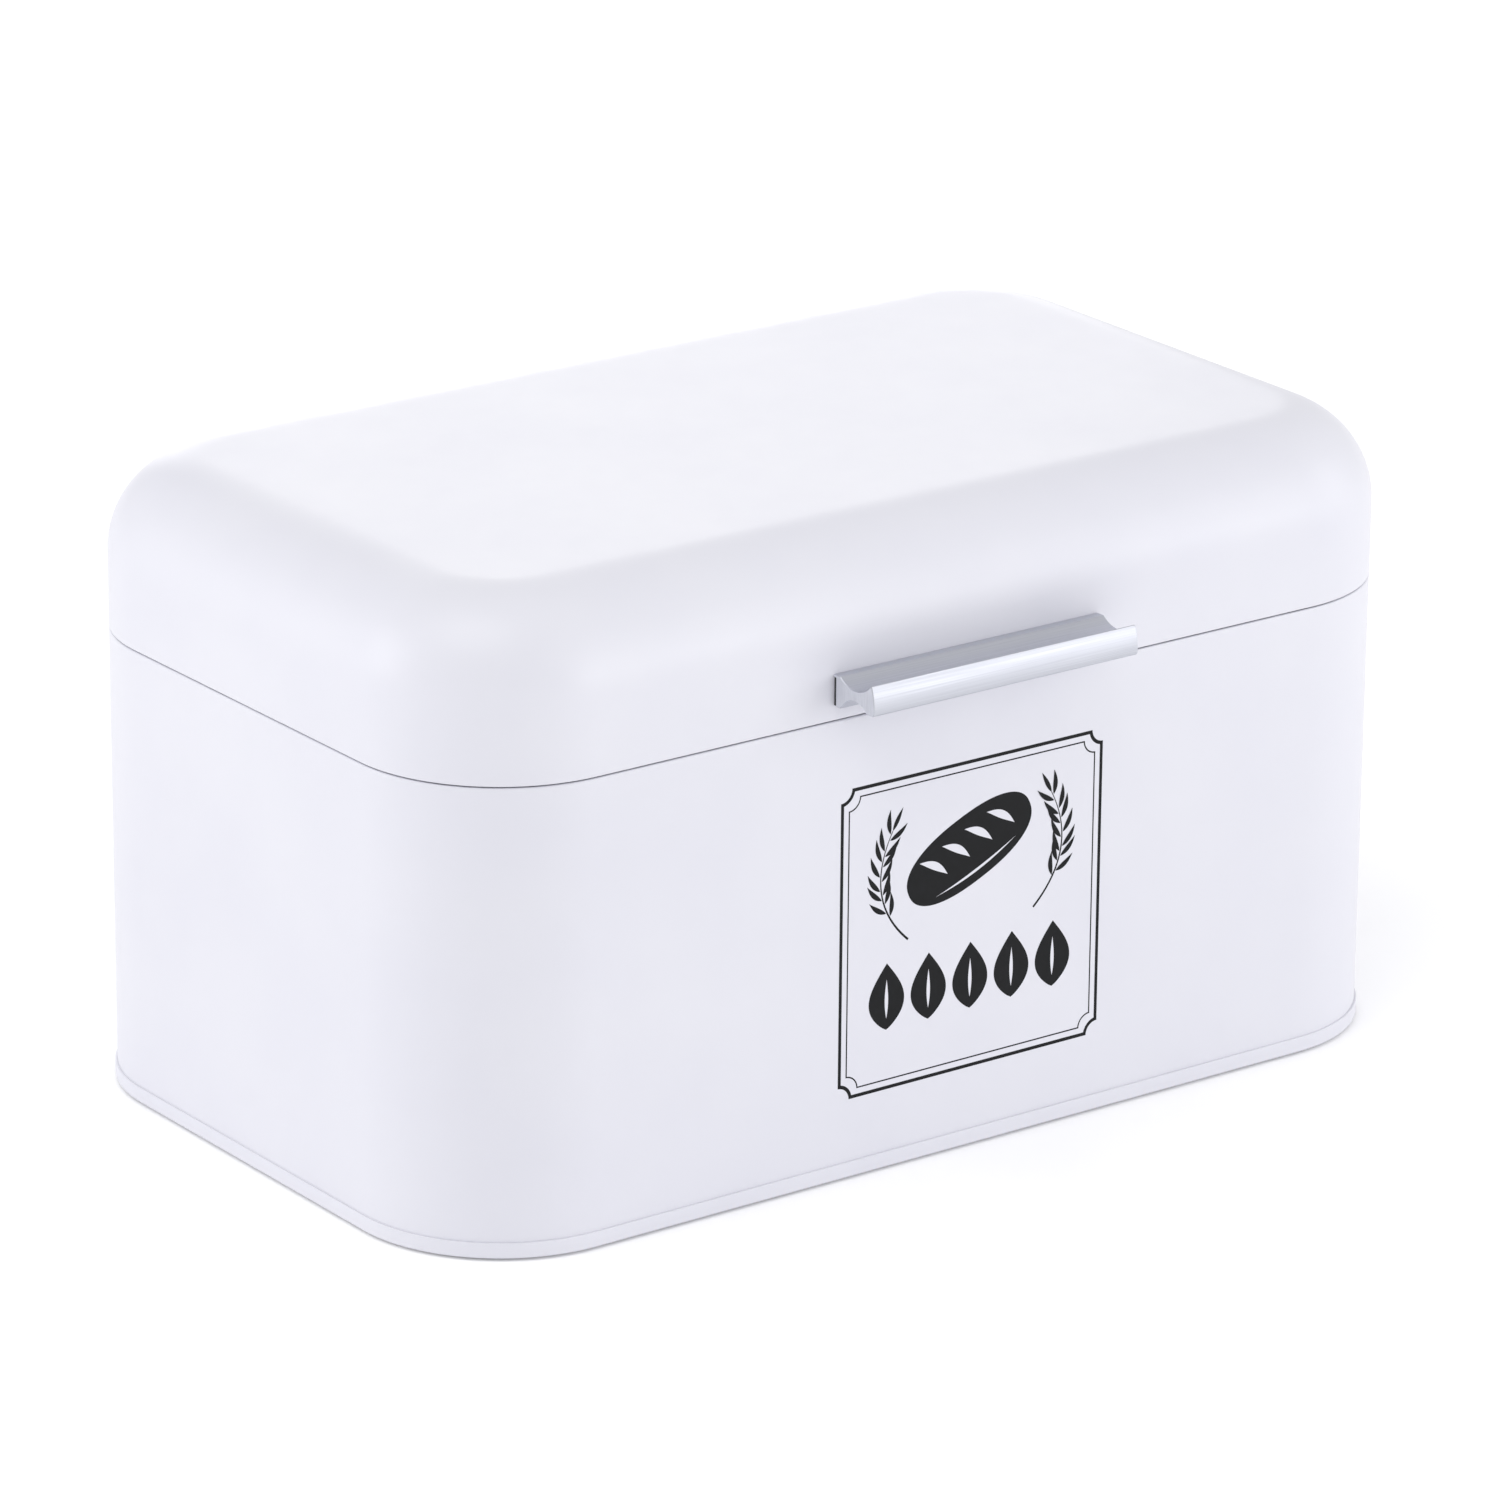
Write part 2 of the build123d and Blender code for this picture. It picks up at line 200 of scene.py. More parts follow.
def makeCutEndWithPaintedLight():
    material, tree, shader = startMaterial("cutAluminiumEndPaintedLight", Metallic=cutEndLookAndPaintedLight["metal"])
    scratches = patternNoise(tree, cutEndLookAndPaintedLight["scratch"], 3.0)
    wearFinish(tree, shader, twoTones(tree, scratches, cutEndLookAndPaintedLight["base"], cutEndLookAndPaintedLight["line"]),
               spread(tree, scratches, 0.5, 0.62), reliefNormal(tree, scratches, cutEndLookAndPaintedLight["scratchHeight"]))
    return material


# Mild steel stamping, bright zinc plated: a grey metal with a faint cloudy spangle left by the bath.
zinc = {"base": "#B9BCC2", "cloud": "#C9CACB", "rough": 0.32, "cloudSize": 5.0, "grain": 0.5,
        "grainHeight": 0.006}


def makeZincPlate():
    material, tree, shader = startMaterial("zincPlatedSteel", Metallic=1.0)
    cloud = patternNoise(tree, (zinc["cloudSize"],) * 3, 4.0, 0.6)
    grain = patternNoise(tree, (zinc["grain"],) * 3, 3.0)
    wearFinish(tree, shader, twoTones(tree, cloud, zinc["base"], zinc["cloud"]),
               spread(tree, cloud, zinc["rough"] - 0.05, zinc["rough"] + 0.08),
               reliefNormal(tree, grain, zinc["grainHeight"]))
    return material


# Soft aluminium rivet, formed by a die: brighter than the leaf, with fine scuffs from the tool.
rivetMetal = {"base": "#D2D4D8", "scuff": "#BFC1C6", "rough": 0.38, "scuffSize": (0.6, 0.6, 2.4),
              "scuffHeight": 0.008}


def makeRivetMetal():
    material, tree, shader = startMaterial("formedAluminium", Metallic=1.0)
    scuff = patternNoise(tree, rivetMetal["scuffSize"], 4.0, 0.65)
    wearFinish(tree, shader, twoTones(tree, scuff, rivetMetal["base"], rivetMetal["scuff"]),
               spread(tree, scuff, rivetMetal["rough"] - 0.06, rivetMetal["rough"] + 0.08),
               reliefNormal(tree, scuff, rivetMetal["scuffHeight"]))
    return material


# Die-cut black rubber sheet: nearly no gloss, and a fine cloth-like texture from the press.
rubber = {"base": "#2B2C2F", "dust": "#3A3B3F", "dustSize": 3.0, "rough": 0.78, "grain": 0.4,
          "grainHeight": 0.03}


def makeRubber():
    material, tree, shader = startMaterial("blackRubberSheet", IOR=1.52)
    dust = patternNoise(tree, (rubber["dustSize"],) * 3, 3.0)
    grain = patternNoise(tree, (rubber["grain"],) * 3, 2.0)
    wearFinish(tree, shader, twoTones(tree, dust, rubber["base"], rubber["dust"]),
               spread(tree, dust, rubber["rough"] - 0.05, rubber["rough"] + 0.05),
               reliefNormal(tree, grain, rubber["grainHeight"]))
    return material


# Cast silicone pad: milky, a little see-through at its edge, with a soft matt skin.
silicone = {"base": "#DCDDE0", "cloud": "#D2D4D8", "cloudSize": 4.0, "rough": 0.5, "skin": 0.5,
            "skinHeight": 0.01}


def makeSilicone():
    material, tree, shader = startMaterial("milkySilicone", **{"IOR": 1.41, "Subsurface Weight": 0.2,
                                                             "Subsurface Scale": 0.002})
    cloud = patternNoise(tree, (silicone["cloudSize"],) * 3, 2.0)
    skin = patternNoise(tree, (silicone["skin"],) * 3, 2.0)
    wearFinish(tree, shader, twoTones(tree, cloud, silicone["base"], silicone["cloud"]),
               spread(tree, cloud, silicone["rough"] - 0.05, silicone["rough"] + 0.05),
               reliefNormal(tree, skin, silicone["skinHeight"]))
    return material


# Black screen ink, cured: a dense film with a low sheen, a touch thinner where the mesh left it.
ink = {
    "base": "#0E0F11",
    "thin": "#151619",
    "patch": 2.5,
    "rough": 0.5,
    "gloss": 0.18,
    "mesh": 0.35,
    "meshHeight": 0.006,
}


def makeInk():
    values = {"IOR": 1.5, "Specular IOR Level": ink["gloss"]}
    material, tree, shader = startMaterial("blackScreenInk", **values)
    film = patternNoise(tree, (ink["patch"],) * 3, 4.0, 0.6)
    mesh = patternNoise(tree, (ink["mesh"],) * 3, 1.0)
    wearFinish(tree, shader, twoTones(tree, film, ink["base"], ink["thin"]),
               spread(tree, film, ink["rough"] - 0.05, ink["rough"] + 0.06),
               reliefNormal(tree, mesh, ink["meshHeight"]))
    return material


coat = makePowderCoat()
aluminium = makeAnodised()
cutEndWithPaintedLight = makeCutEndWithPaintedLight()
plated = makeZincPlate()
formed = makeRivetMetal()
blackRubber = makeRubber()
padSilicone = makeSilicone()
printInk = makeInk()
print("materials made")


# Rounds the corners of a path. Each arc is a rational quadratic curve from one tangent point to the other,
# with the corner as its control point and the sine of half the corner's angle as its weight, which makes
# it exactly circular. Points that fall together are dropped.
def roundedPath(corners, radii, steps=6, closed=False):
    corners = np.asarray(corners, float)
    radii = np.asarray(radii, float)
    before, after = np.roll(corners, 1, 0) - corners, np.roll(corners, -1, 0) - corners
    before /= np.linalg.norm(before, axis=1)[:, None]
    after /= np.linalg.norm(after, axis=1)[:, None]
    half = np.arccos(np.clip((before * after).sum(1), -1, 1)) / 2
    if not closed:
        radii[[0, -1]] = 0
    cut = (radii / np.tan(np.maximum(half, 1e-3)))[:, None, None]
    s = np.linspace(0, 1, steps + 1)[None, :, None]
    weight = np.sin(half)[:, None, None]
    start = corners[:, None] + before[:, None] * cut
    end = corners[:, None] + after[:, None] * cut
    share = 2 * s * (1 - s) * weight
    points = (1 - s) ** 2 * start + share * corners[:, None] + s ** 2 * end
    points = points / ((1 - s) ** 2 + share + s ** 2)
    points = points.reshape(-1, 2)
    gap = np.linalg.norm(points - np.roll(points, 1, 0), axis=1)
    keep = gap > 1e-5
    keep[0] = keep[0] or not closed
    return points[keep]


# Adds two points near the ends of every long run of a path, so that smooth shading stays in the bends.
def braced(path, reach=0.5, closed=False):
    ends = np.roll(path, -1, 0)
    run = ends - path
    length = np.linalg.norm(run, axis=1)
    share = np.where(length > 4 * reach, reach / np.maximum(length, 1e-9), 0)[:, None]
    points = np.stack([path, path + run * share, ends - run * share], 1)
    wanted = np.stack([np.ones(len(path), bool), length > 4 * reach, length > 4 * reach], 1)
    if not closed:
        wanted[-1, 1:] = False
    return points[wanted]


# Quads of a grid with this many rows and columns, wrapped round the columns, and the rows if asked.
def gridQuads(rows, columns, wrapRows=False, wrapColumns=True):
    r = np.arange(rows if wrapRows else rows - 1)[:, None]
    c = np.arange(columns if wrapColumns else columns - 1)[None, :]
    nextRow, nextColumn = (r + 1) % rows, (c + 1) % columns
    quads = [r * columns + c, r * columns + nextColumn, nextRow * columns + nextColumn, nextRow * columns + c]
    return np.stack(quads, -1)


# A mesh from points in millimetres and faces: equal points merged, faces turned outwards, smooth
# except along edges sharper than the angle.
def makePiece(name, points, faces, material, sharpAngle=38.0):
    mesh = bpy.data.meshes.new(name)
    mesh.from_pydata((np.asarray(points) * mm).tolist(), [], faces)
    work = bmesh.new()
    work.from_mesh(mesh)
    bmesh.ops.remove_doubles(work, verts=work.verts, dist=0.002 * mm)
    bmesh.ops.recalc_face_normals(work, faces=work.faces)
    if work.calc_volume(signed=True) < 0:
        bmesh.ops.reverse_faces(work, faces=work.faces)
    work.to_mesh(mesh)
    work.free()
    mesh.polygons.foreach_set("use_smooth", np.ones(len(mesh.polygons), bool))
    mesh.set_sharp_from_angle(angle=math.radians(sharpAngle))
    mesh.materials.append(material)
    piece = bpy.data.objects.new(name, mesh)
    bpy.context.scene.collection.objects.link(piece)
    return piece


# The outline that the wall, the lid, the bottom and the collar all follow.
lidLow, lidHigh = nodeBox("lid_shell")
wallLow, wallHigh = nodeBox("body_wall")
panLow = nodeBox("base_pan")[0]
outline = {
    "cornerRadius": 44.0,
    "cornerSteps": 32,  # facets round each upright corner
    "edgeSpan": 1.0,  # a short facet beside each corner, which keeps the flat sides flat to the eye
    "sheet": 0.6,
}
outlineMiddle = (lidLow[:2] + lidHigh[:2]) / 2
outlineHalf = (lidHigh[:2] - lidLow[:2]) / 2
coreHalf = outlineHalf - outline["cornerRadius"]


# Stations along a straight side: both ends, a short facet beside each, and any that are asked for.
def sideStations(half, extra=()):
    near = half - outline["edgeSpan"]
    plain = [-half, -near, -half / 3, half / 3, near, half]
    return np.unique(np.concatenate([plain, np.asarray(extra, float)]))


# The closed outline, anticlockwise from the right end of the back, as inner-rectangle points and the
# outward normals there: straight sides have one normal, and corners have one point and turning normals.
def outlineStations(backExtra=()):
    turn = np.linspace(0, math.pi / 2, outline["cornerSteps"] + 1)[1:-1]
    backs, sides = sideStations(coreHalf[0], backExtra)[::-1], sideStations(coreHalf[1])[::-1]
    fronts = sideStations(coreHalf[0])[::-1]
    cores, normals = [], []
    for quarter, run in enumerate((backs, sides, fronts, sides)):
        angle = math.radians(90 + 90 * quarter)
        across, along = (coreHalf[1], coreHalf[0]) if quarter % 2 == 0 else (coreHalf[0], coreHalf[1])
        out = np.array([math.cos(angle), math.sin(angle)])
        side = np.array([math.sin(angle), -math.cos(angle)])
        cores.append(out * across + run[:, None] * side)
        normals.append(np.broadcast_to(out, (len(run), 2)))
        cores.append(np.broadcast_to(out * across - side * along, (len(turn), 2)))
        normals.append(np.stack([np.cos(angle + turn), np.sin(angle + turn)], 1))
    return np.concatenate(cores), np.concatenate(normals)


# A profile carried round the outline. A profile point is (inset, height, share): its place is the middle
# plus share times (inner-rectangle point + normal * (corner radius - inset)), at that height.
# Share is 1 on the sheet's bends and falls to 0 at the middle of a flat top or bottom.
def carryRound(profile, stations):
    core, normal = stations
    reach = (outline["cornerRadius"] - profile[:, 0])[:, None, None]
    flat = (core[None] + normal[None] * reach) * profile[:, 2][:, None, None] + outlineMiddle
    height = np.broadcast_to(profile[:, 1][:, None, None], (*flat.shape[:2], 1))
    return np.concatenate([flat, height], 2)


def fullShare(path):
    return np.column_stack([path, np.ones(len(path))])


# Rows from the middle of a flat top or bottom out to where its bends begin.
def flatRows(inset, height, shares=(0.0, 0.3, 0.6, 0.85, 0.97)):
    return np.array([(inset, height, share) for share in shares])


# Points on a semicircle that folds a sheet over itself, from one face to the other.
def foldOver(insetStart, insetEnd, height, up, steps=10):
    angle = np.linspace(0, math.pi, steps + 1)
    middle, radius = (insetStart + insetEnd) / 2, abs(insetEnd - insetStart) / 2
    across = middle + (insetStart - middle) * np.cos(angle)
    return np.column_stack([across, height + up * radius * np.sin(angle)])


lidShape = {
    "edgeRadius": 27.0,  # round edge between skirt and top
    "edgeSteps": 30,
    "hem": 4.0,
    "pressed": 0.2,  # corner radius of the hem, which is pressed flat
}


# One drawn sheet: flat top, quarter-circle edge, upright skirt, lower edge folded in, and the same
# path back inside, one sheet thickness away.
def makeLid():
    sheet, radius = outline["sheet"], lidShape["edgeRadius"]
    turn = np.linspace(0, math.pi / 2, lidShape["edgeSteps"] + 1)
    centre = lidHigh[2] - radius
    arc = np.column_stack([-np.sin(turn), np.cos(turn)])
    outerEdge = (radius, centre) + arc * radius
    innerEdge = (radius, centre) + arc * (radius - sheet)
    low, pressed = lidLow[2], lidShape["pressed"]
    hemCorners = [(0, low + sheet), (0, low), (2 * sheet, low), (2 * sheet, low + sheet)]
    fold = roundedPath(hemCorners, [0, pressed, pressed, 0])
    hemTop = low + lidShape["hem"]
    hemEnd = np.array([(2 * sheet, hemTop - 0.15), (2 * sheet - 0.15, hemTop), (sheet, hemTop)])
    skirt = braced(np.concatenate([outerEdge, fold, hemEnd, innerEdge[::-1]]))
    over, under = flatRows(radius, lidHigh[2]), flatRows(radius, lidHigh[2] - sheet)[::-1]
    profile = np.concatenate([over, fullShare(skirt), under])
    points = carryRound(profile, outlineStations())
    rows, columns = points.shape[:2]
    quads = gridQuads(rows, columns).reshape(-1, 4)
    return makePiece("lidSkin", points.reshape(-1, 3), quads.tolist(), coat)


lidSkin = makeLid()
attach(lidSkin, "lid")
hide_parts("lid_shell")
print("lid made", len(lidSkin.data.polygons), "faces")


wallShape = {
    "hem": 8.0,
    "seamHalf": 3.5,  # lock seam at the middle of the back
    "seamProud": 0.6,
    "seamLow": 4.8,  # above the wall's lower edge
    "ventPitch": 9.0,
    "ventRadius": 2.0,
    "ventFirst": 17.0,  # first hole from the middle
    "ventCount": 5,  # on each side
    "ventDrop": 29.6,  # below the wall's top
    "ventEdge": 0.15,  # soft edge of a punched hole
    "cellSteps": 8,
}
pitch, cellSteps = wallShape["ventPitch"], wallShape["cellSteps"]
ventHeight = wallHigh[2] - wallShape["ventDrop"]
cellGrid = np.arange(cellSteps * wallShape["ventCount"] + 1) * pitch / cellSteps
ventColumns = wallShape["ventFirst"] - pitch / 2 + cellGrid
ventRows = ventHeight - pitch / 2 + np.arange(cellSteps + 1) * pitch / cellSteps
ventPlaces = wallShape["ventFirst"] + pitch * np.arange(wallShape["ventCount"])
ventPlaces = np.concatenate([-ventPlaces[::-1], ventPlaces])


# Rings of points round every hole: a square of the wall's grid, the hole's soft edge, its bore, and the
# same on the inside. The square's points are the ones that the grid has there.
def ventRings():
    backY = outlineMiddle[1] + outlineHalf[1]
    run = np.linspace(-0.5, 0.5, cellSteps + 1)[:-1] * pitch
    square = np.concatenate([np.column_stack([run, np.full(cellSteps, -pitch / 2)]),
                             np.column_stack([np.full(cellSteps, pitch / 2), run]),
                             np.column_stack([-run, np.full(cellSteps, pitch / 2)]),
                             np.column_stack([np.full(cellSteps, -pitch / 2), -run])])
    circle = square / np.linalg.norm(square, axis=1)[:, None]
    radius, soft, sheet = wallShape["ventRadius"], wallShape["ventEdge"], outline["sheet"]
    rings = [(square, 0), (circle * (radius + 3 * soft), 0), (circle * (radius + soft), 0),
             (circle * radius, soft), (circle * radius, sheet - soft), (circle * (radius + soft), sheet),
             (circle * (radius + 3 * soft), sheet), (square, sheet)]
    flat = np.stack([ring for ring, deep in rings])
    deep = np.array([deep for ring, deep in rings])
    x = flat[None, :, :, 0] + ventPlaces[:, None, None]
    z = np.broadcast_to(flat[None, :, :, 1] + ventHeight, x.shape)
    y = np.broadcast_to(backY - deep[None, :, None], x.shape)
    return np.stack([x, y, z], -1)


# One strip bent round: its outer face goes up, folds over at the top into a hem, and comes down inside.
# At the back the outer face stands out over the lock seam, and squares of the grid give way to the holes.
def makeWall():
    sheet, low, top = outline["sheet"], wallLow[2], wallHigh[2]
    hemLow, seamLow = top - wallShape["hem"], low + wallShape["seamLow"]
    seamRows = [seamLow + np.array([-0.3, 0, 0.06, 0.3]), hemLow + np.array([-0.3, -0.06, 0, 0.3])]
    plainRows = [low, low + 0.4, low + 40, low + 75, top - 2.0, top - sheet - 0.01]
    outerRows = np.unique(np.round(np.concatenate([plainRows, *seamRows, ventRows]), 6))
    innerRows = np.concatenate([[hemLow - 0.4], ventRows[::-1], [low + 75, low + 40, low + 0.4, low]])
    outer = np.column_stack([np.zeros(len(outerRows)), outerRows])
    hemInset = 2 * sheet + 0.02
    fold = foldOver(0, hemInset, top - sheet - 0.01, 1)[1:]
    hem = np.array([(hemInset, top - 2.0), (hemInset, hemLow + 0.4), (hemInset, hemLow + 0.15),
                    (2 * sheet - 0.13, hemLow), (sheet, hemLow)])
    inner = np.column_stack([np.full(len(innerRows), sheet), innerRows])
    profile = fullShare(np.concatenate([outer, fold, hem, inner]))
    half, slope = wallShape["seamHalf"], np.array([0, 0.06, 0.3])
    seamColumns = np.concatenate([-half + slope, half - slope, [-half - 0.4, half + 0.4]])
    points = carryRound(profile, outlineStations(np.concatenate([ventColumns, -ventColumns, seamColumns])))
    rows, columns = points.shape[:2]
    x, y, z = points[..., 0], points[..., 1], points[..., 2]
    onBackFace = (np.arange(rows) < len(outerRows))[:, None] & (y > outlineMiddle[1] + outlineHalf[1] - 0.01)
    # The seam's height is the lower of two ramps, one across it and one along it, each 0 at its edge.
    across = np.interp(half - np.abs(x), [0, 0.06, 0.3], [0, 0.6, 1.0])
    along = np.interp(np.minimum(z - seamLow, hemLow - z), [0, 0.06, 0.3], [0, 0.6, 1.0])
    points[..., 1] += np.where(onBackFace, np.minimum(across, along) * wallShape["seamProud"], 0)
    quads = gridQuads(rows, columns, wrapRows=True)
    flatPoints = points.reshape(-1, 3)
    centre = flatPoints[quads].mean(2)
    ventZone = (np.abs(centre[..., None, 0] - ventPlaces) < pitch / 2).any(-1)
    ventZone &= centre[..., 1] > outlineMiddle[1] + outlineHalf[1] - 1
    ventZone &= np.abs(centre[..., 2] - ventHeight) < pitch / 2
    keptQuads = quads[~ventZone]
    rings = ventRings()
    vents, ringRows, ringColumns = rings.shape[:3]
    ringQuads = gridQuads(ringRows, ringColumns).reshape(1, -1, 4)
    ringQuads = ringQuads + (np.arange(vents) * ringRows * ringColumns)[:, None, None] + len(flatPoints)
    allPoints = np.concatenate([flatPoints, rings.reshape(-1, 3)])
    allQuads = np.concatenate([keptQuads, ringQuads.reshape(-1, 4)])
    return makePiece("wallSheet", allPoints, allQuads.tolist(), coat)


wallSheet = makeWall()
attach(wallSheet, "box")
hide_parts("body_wall")
print("wall made", len(wallSheet.data.polygons), "faces")


panShape = {
    "rimProud": 0.6,
    "rimHeight": 4.4,
    "slip": 0.02,  # play between the rim and the wall it grips
    "recess": 3.5,  # bottom sheet above the rim's lower edge
    "panelMargin": 18.0,
    "panelLift": 1.5,
}


# From the middle of the underside: out under the raised panel, down into the tray's edge, out under the
# wall, up outside it, back down the slot that grips the wall, and in over the floor.
def makePan():
    sheet, slip, proud = outline["sheet"], panShape["slip"], panShape["rimProud"]
    low, rimTop = panLow[2], panLow[2] + panShape["rimHeight"]
    floorZ, margin, lift = panLow[2] + panShape["recess"], panShape["panelMargin"], panShape["panelLift"]
    legIn, legOut = 2 * sheet + slip, sheet + slip
    corners = np.array([
        (margin + 1.0, floorZ + lift), (margin, floorZ + lift), (margin, floorZ), (legIn, floorZ),
        (legIn, low), (-proud, low), (-proud, rimTop), (-slip, rimTop), (-slip, low + sheet),
        (legOut, low + sheet), (legOut, floorZ + sheet), (margin - sheet, floorZ + sheet),
        (margin - sheet, floorZ + lift + sheet), (margin + 1.0, floorZ + lift + sheet),
    ])
    radii = [0, 0.7, 0.5, 0.5, 0.5, 0.55, 0.28, 0.02, 0.02, 0.02, 0.5, 0.7, 0.5, 0]
    path = braced(roundedPath(corners, radii, 6))
    under = flatRows(margin + 1.0, floorZ + lift)
    over = flatRows(margin + 1.0, floorZ + lift + sheet)[::-1]
    profile = np.concatenate([under, fullShare(path), over])
    points = carryRound(profile, outlineStations())
    quads = gridQuads(*points.shape[:2]).reshape(-1, 4)
    return makePiece("basePanSheet", points.reshape(-1, 3), quads.tolist(), coat)


basePanSheet = makePan()
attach(basePanSheet, "box")
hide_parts("base_pan")
print("bottom made", len(basePanSheet.data.polygons), "faces")


collarShape = {
    "drop": 11.0,  # lower edge below the middle of the seam
    "step": 2.0,
    "rise": 4.4,
    "lowInset": 1.22,
    "highInset": 2.6,
    "hem": 3.0,
}


# A stepped strip: a lower band spot-welded inside the wall, a shelf, and a riser with its top folded in.
def makeCollar():
    sheet = outline["sheet"]
    seamZ = (wallHigh[2] + lidLow[2]) / 2
    low, shelf, top = seamZ - collarShape["drop"], seamZ - collarShape["step"], seamZ + collarShape["rise"]
    outer, riser = collarShape["lowInset"], collarShape["highInset"]
    hemLow = top - collarShape["hem"]
    corners = np.array([
        (outer, low), (outer, shelf), (riser, shelf), (riser, top), (riser + 2 * sheet, top),
        (riser + 2 * sheet, hemLow), (riser + sheet, hemLow), (riser + sheet, shelf - sheet),
        (outer + sheet, shelf - sheet), (outer + sheet, low),
    ])
    radii = [0.12, 0.5, 0.3, 0.58, 0.58, 0.15, 0.05, 0.6, 0.3, 0.12]
    path = braced(roundedPath(corners, radii, 6, closed=True), closed=True)
    points = carryRound(fullShare(path), outlineStations())
    quads = gridQuads(*points.shape[:2], wrapRows=True).reshape(-1, 4)
    return makePiece("collarRing", points.reshape(-1, 3), quads.tolist(), coat)


collarRing = makeCollar()
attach(collarRing, "box")
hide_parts("collar")
print("collar made", len(collarRing.data.polygons), "faces")


handleLow, handleHigh = nodeBox("handle_bar")
handleShape = {
    "gasket": 1.0,
    "plate": 1.9,  # thickness of the back above the scoop
    "backHeight": 8.9,
    "cover": 0.9,  # ledge at the top of the back that hides the gasket
    "scoopFloor": (8.6, 6.7),
    "lipTop": 9.9,
    "lipBulge": 6.2,
    "lipEnd": 2.6,
    "hollowTop": (9.4, 3.7),
    "endBevel": 0.22,
    "arcSteps": 14,
}


# Points on the circle through three points, from the first to the last, by way of the second.
# The centre solves |c - a| = |c - b| = |c - d|, and the angles are kept on the middle point's side.
def arcThrough(a, b, d, steps):
    a, b, d = (np.array(p, float) for p in (a, b, d))
    matrix = 2 * np.array([b - a, d - a])
    centre = np.linalg.solve(matrix, [b @ b - a @ a, d @ d - a @ a])
    angles = np.unwrap([math.atan2(*(p - centre)[::-1]) for p in (a, b, d)])
    angle = np.linspace(angles[0], angles[-1], steps + 1)
    return centre + np.linalg.norm(a - centre) * np.column_stack([np.cos(angle), np.sin(angle)])


# The extrusion's section, forwards from the lid and upwards from its lower edge, with rounded corners.
def handleSection():
    back, tip = handleShape["gasket"], outlineMiddle[1] - outlineHalf[1] - handleLow[1]
    face, steps = back + handleShape["plate"], handleShape["arcSteps"]
    top, under = handleShape["backHeight"], handleShape["backHeight"] - handleShape["cover"]
    lipTop, lipBulge, lipEnd = (handleShape[key] for key in ("lipTop", "lipBulge", "lipEnd"))
    scoop = arcThrough((face, top), handleShape["scoopFloor"], (tip - 1.6, lipTop), steps)
    lip = arcThrough((tip - 1.3, lipTop - 0.1), (tip - 0.25, lipBulge), (tip, lipEnd), steps)
    foot = arcThrough((tip, lipEnd), (tip - 0.5, 1.75), (tip - 1.3, 1.6), 6)
    hollow = arcThrough((tip - 3.6, 1.7), handleShape["hollowTop"], (4.2, 1.2), steps)
    parts = [np.array([(back, 0), (back, under), (0, under), (0, top)]), scoop, lip, foot[1:], hollow,
             np.array([(face + 0.1, 0)])]
    corners = np.concatenate(parts)
    radii = np.zeros(len(corners))
    sharp = [0, 1, 2, 3, 4, 4 + steps, len(corners) - 1 - steps - 1, len(corners) - 2, len(corners) - 1]
    radii[sharp] = [0.25, 0.1, 0.1, 0.3, 0.25, 0.12, 0.3, 0.25, 0.25]
    return roundedPath(corners, radii, 5, closed=True)


# The section carried along X. Its first and last stations are drawn in a little, which bevels the cut ends.
def makeHandle():
    section = handleSection()
    tangent = np.roll(section, -1, 0) - np.roll(section, 1, 0)
    tangent /= np.linalg.norm(tangent, axis=1)[:, None]
    inward = np.column_stack([tangent[:, 1], -tangent[:, 0]])
    area = (section[:, 0] * np.roll(section[:, 1], -1) - section[:, 1] * np.roll(section[:, 0], -1)).sum()
    inward *= -np.sign(area)
    bevel = handleShape["endBevel"]
    stations = np.array([handleLow[0], handleLow[0] + bevel, handleLow[0] + 3, 0, handleHigh[0] - 3,
                         handleHigh[0] - bevel, handleHigh[0]])
    drawnIn = np.array([bevel * 0.9, 0, 0, 0, 0, 0, bevel * 0.9])
    shape = section[None] + inward[None] * drawnIn[:, None, None]
    x = np.broadcast_to(stations[:, None], shape.shape[:2])
    y = outlineMiddle[1] - outlineHalf[1] - shape[..., 0]
    z = handleLow[2] + shape[..., 1]
    points = np.stack([x, y, z], -1)
    rows, columns = points.shape[:2]
    faces = gridQuads(rows, columns).reshape(-1, 4).tolist()
    faces += [list(range(columns)), list(range((rows - 1) * columns, rows * columns))]
    pull = makePiece("handlePull", points.reshape(-1, 3), faces, aluminium, 30.0)
    # Second slot for both cut end faces: their paler grey is partly painted light.
    pull.data.materials.append(cutEndWithPaintedLight)
    sides = np.zeros(len(pull.data.polygons), np.int32)
    sides[[face.index for face in pull.data.polygons if abs(face.normal.x) > 0.99]] = 1
    pull.data.polygons.foreach_set("material_index", sides)
    return pull


handlePull = makeHandle()
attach(handlePull, "lid")
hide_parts("handle_bar")
print("handle made", len(handlePull.data.polygons), "faces")


# The print on the front: a notched double frame, a plain loaf between two sprigs, and a row of grains.
labelLow, labelHigh = nodeBox("front_label")
labelShape = {
    "notch": 3.7,
    "outerLine": 1.0,
    "innerLine": 0.40,
    "innerGap": 2.6,
    "inkThickness": 0.05,
    "inkSunk": 0.03,  # how far the ink's back lies inside the coat
    "grainLift": 0.004,
    "liftStep": 0.003,
}
labelMiddle = np.array([(labelLow[0] + labelHigh[0]) / 2, (labelLow[2] + labelHigh[2]) / 2])
labelHalf = (labelHigh[0] - labelLow[0]) / 2


# The matrix that turns a flat point anticlockwise by an angle.
def turned(angle):
    return np.array([[math.cos(angle), -math.sin(angle)], [math.sin(angle), math.cos(angle)]])


